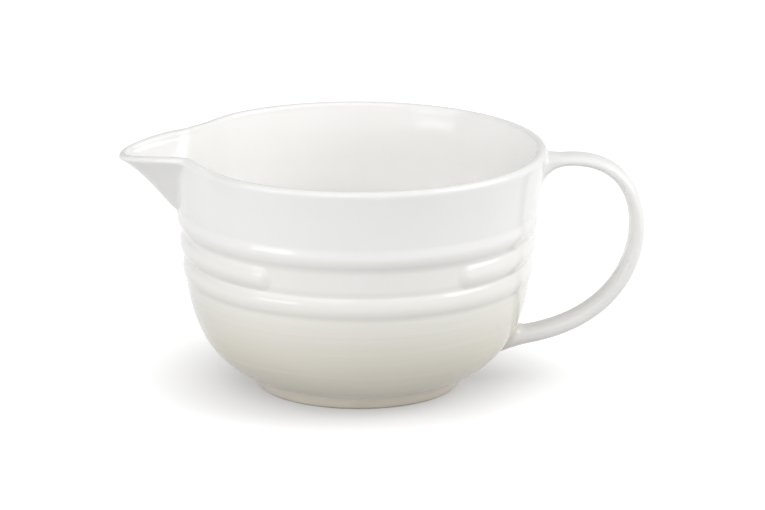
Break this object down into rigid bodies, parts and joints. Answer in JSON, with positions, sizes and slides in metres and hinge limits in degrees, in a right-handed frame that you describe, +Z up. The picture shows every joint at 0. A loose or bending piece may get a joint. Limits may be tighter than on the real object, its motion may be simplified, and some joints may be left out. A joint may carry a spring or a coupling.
{
  "type": "batter bowl",
  "caption": "Footed mixing bowl in glazed stoneware with a drawn pouring spout, a strap handle opposite it and raised bands round the belly.",
  "frame": {"origin": "middle of the foot ring's standing face, on the bowl's axis", "axes": "+Z up along the bowl's axis, +X towards the handle, -X towards the spout, -Y towards the bare field in the middle band"},
  "size_m": [0.2826, 0.202, 0.1327],
  "materials": {
    "ivory_glaze": "glossy white glaze that warms to ivory towards the foot",
    "foot_stoneware": "ivory glaze on the flanks, bare stoneware on the standing face"
  },
  "bodies": {
    "root": {"bowl_body": "ivory_glaze", "foot_ring": "foot_stoneware", "pouring_spout": "ivory_glaze", "upper_band": "ivory_glaze", "middle_band": "ivory_glaze", "lower_band": "ivory_glaze", "handle": "ivory_glaze"}
  },
  "joints": []
}
